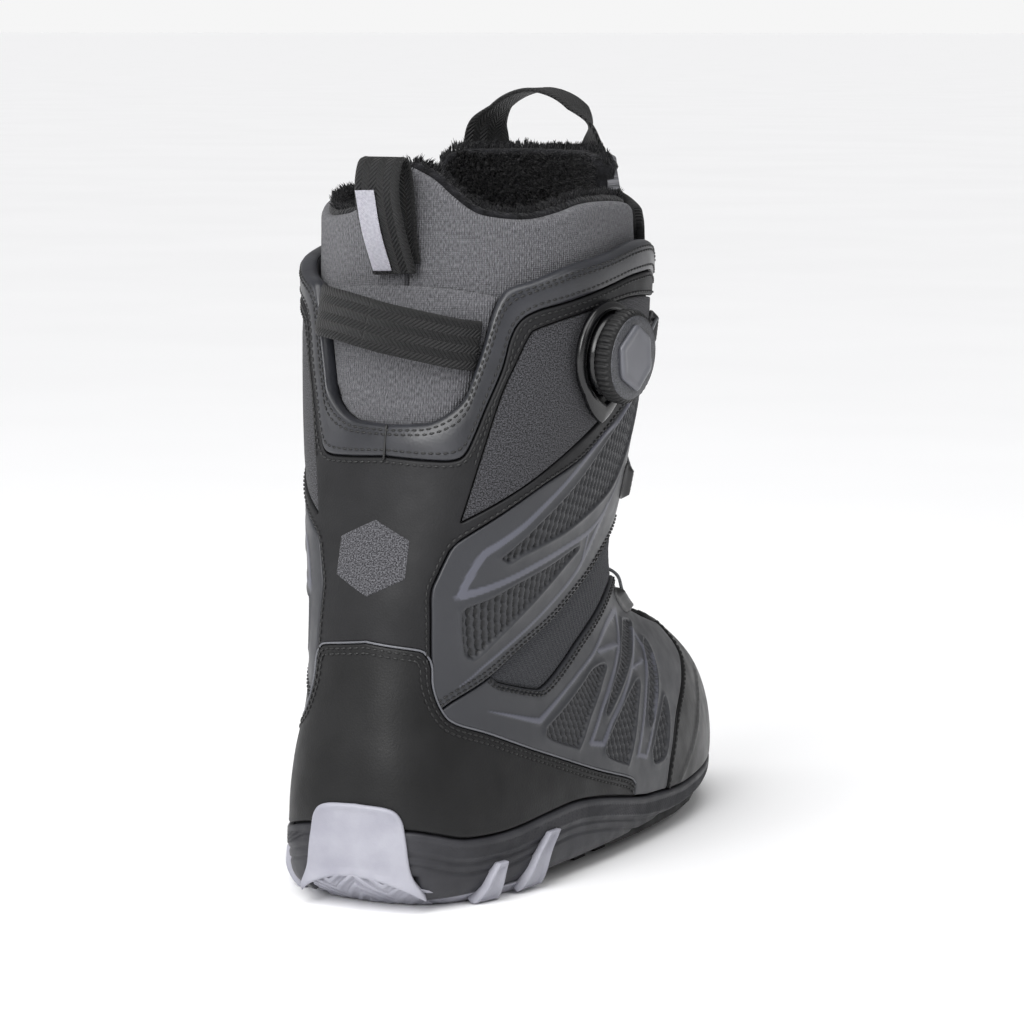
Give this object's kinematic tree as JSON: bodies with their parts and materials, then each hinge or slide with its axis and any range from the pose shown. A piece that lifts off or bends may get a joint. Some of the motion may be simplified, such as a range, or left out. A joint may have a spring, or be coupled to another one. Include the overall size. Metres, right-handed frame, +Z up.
{
  "type": "snowboard boot",
  "caption": "Right-foot snowboard boot: moulded shell panels on a padded lining, fleece-topped liner, dial-wound lace over a hinged tongue, pull loops and a lugged rubber sole.",
  "frame": {"origin": "on the ground under the ankle, on the tread block at the waist of the sole", "axes": "+Z up, +Y to the toe, +X to the outer (lateral) side of this right boot"},
  "size_m": [0.1539, 0.3069, 0.3229],
  "materials": {
    "rubber_black": "matte moulded rubber",
    "rubber_light": "satin light grey moulded rubber",
    "rubber_grey": "matte dark grey rubber with a fine ribbed strip",
    "foam": "fabric-faced foam",
    "nylon": "moulded nylon",
    "nylon_grey": "satin grey moulded nylon",
    "board": "pressed fibre board",
    "knit": "heathered grey knit over foam",
    "collar_synthetic": "satin coated synthetic",
    "black_synthetic": "matte black synthetic leather",
    "textile": "dark grey speckled woven textile",
    "moulded_grey": "satin grey moulded film",
    "fleece": "deep pile black fleece",
    "steel": "stranded stainless steel",
    "webbing": "black herringbone webbing",
    "label": "pale woven label, unlettered"
  },
  "bodies": {
    "boot": {"outsole": "rubber_black", "heel_tread": "rubber_light", "heel_insert": "rubber_light", "side_lug_lateral_rear": "rubber_light", "side_lug_lateral_front": "rubber_light", "side_lug_medial_rear": "rubber_light", "side_lug_medial_front": "rubber_light", "foxing": "rubber_grey", "midsole": "foam", "shank": "nylon", "lasting_board": "board", "liner_sole": "knit", "footbed": "foam", "lining_lateral": "foam", "lining_medial": "foam", "rear_gusset": "knit", "collar_band": "collar_synthetic", "backstay": "black_synthetic", "heel_counter": "black_synthetic", "toe_cap": "black_synthetic", "side_textile_lateral": "textile", "side_textile_medial": "textile", "upper_panel_lateral": "moulded_grey", "upper_panel_medial": "moulded_grey", "flex_gusset_lateral": "textile", "flex_gusset_medial": "textile", "lower_panel_lateral": "moulded_grey", "lower_panel_medial": "moulded_grey", "liner_lateral": "knit", "liner_medial": "knit", "fur_lining": "fleece", "lace": "steel", "lace_guide_1": "nylon", "lace_guide_2": "nylon", "lace_guide_3": "nylon", "lace_guide_4": "nylon", "lace_guide_5": "nylon", "dial_bezel": "nylon", "dial_housing": "nylon", "dial_axle": "steel"},
    "tongue": {"shell_tongue": "black_synthetic", "liner_tongue": "knit", "tongue_fur": "fleece"},
    "front_pull": {"front_loop": "webbing"},
    "rear_pull": {"rear_loop": "webbing", "rear_loop_label": "label"},
    "heel_pull": {"heel_strap": "webbing"},
    "dial_lift": {"lift_bush": "nylon"},
    "dial": {"dial_knob": "nylon", "knob_grip": "rubber_black", "knob_cap": "nylon_grey", "drive_ring": "nylon"},
    "reel": {"spool": "nylon"}
  },
  "joints": [
    {"name": "tongue_hinge", "type": "hinge", "parent": "boot", "child": "tongue", "pos_m": [0, 0.158, 0.081], "axis": [-1, 0, 0], "range_deg": [0, 10], "deforming": ["lace"]},
    {"name": "front_pull_swing", "type": "hinge", "parent": "tongue", "child": "front_pull", "pos_m": [-0.005, 0.086, 0.286], "axis": [-1, 0, 0], "range_deg": [0, 55]},
    {"name": "rear_pull_swing", "type": "hinge", "parent": "boot", "child": "rear_pull", "pos_m": [-0.001, -0.0445, 0.2515], "axis": [1, 0, 0], "range_deg": [0, 55]},
    {"name": "heel_pull_swing", "type": "hinge", "parent": "boot", "child": "heel_pull", "pos_m": [0.0035, -0.04725, 0.2295], "axis": [0.9853, 0, -0.171], "range_deg": [-22, 10]},
    {"name": "dial_pull", "type": "slide", "parent": "boot", "child": "dial_lift", "axis": [0.993, -0.085, -0.0823], "range_m": [0, 0.004]},
    {"name": "dial_turn", "type": "hinge", "parent": "dial_lift", "child": "dial", "pos_m": [0.0636, 0.00548, 0.21812], "axis": [0.993, -0.085, -0.0823], "continuous": true},
    {"name": "reel_turn", "type": "hinge", "parent": "boot", "child": "reel", "pos_m": [0.0636, 0.00548, 0.21812], "axis": [0.993, -0.085, -0.0823], "continuous": true}
  ],
  "couplings": [
    {"joint": "reel_turn", "follows": "dial_turn", "ratio": 1}
  ]
}
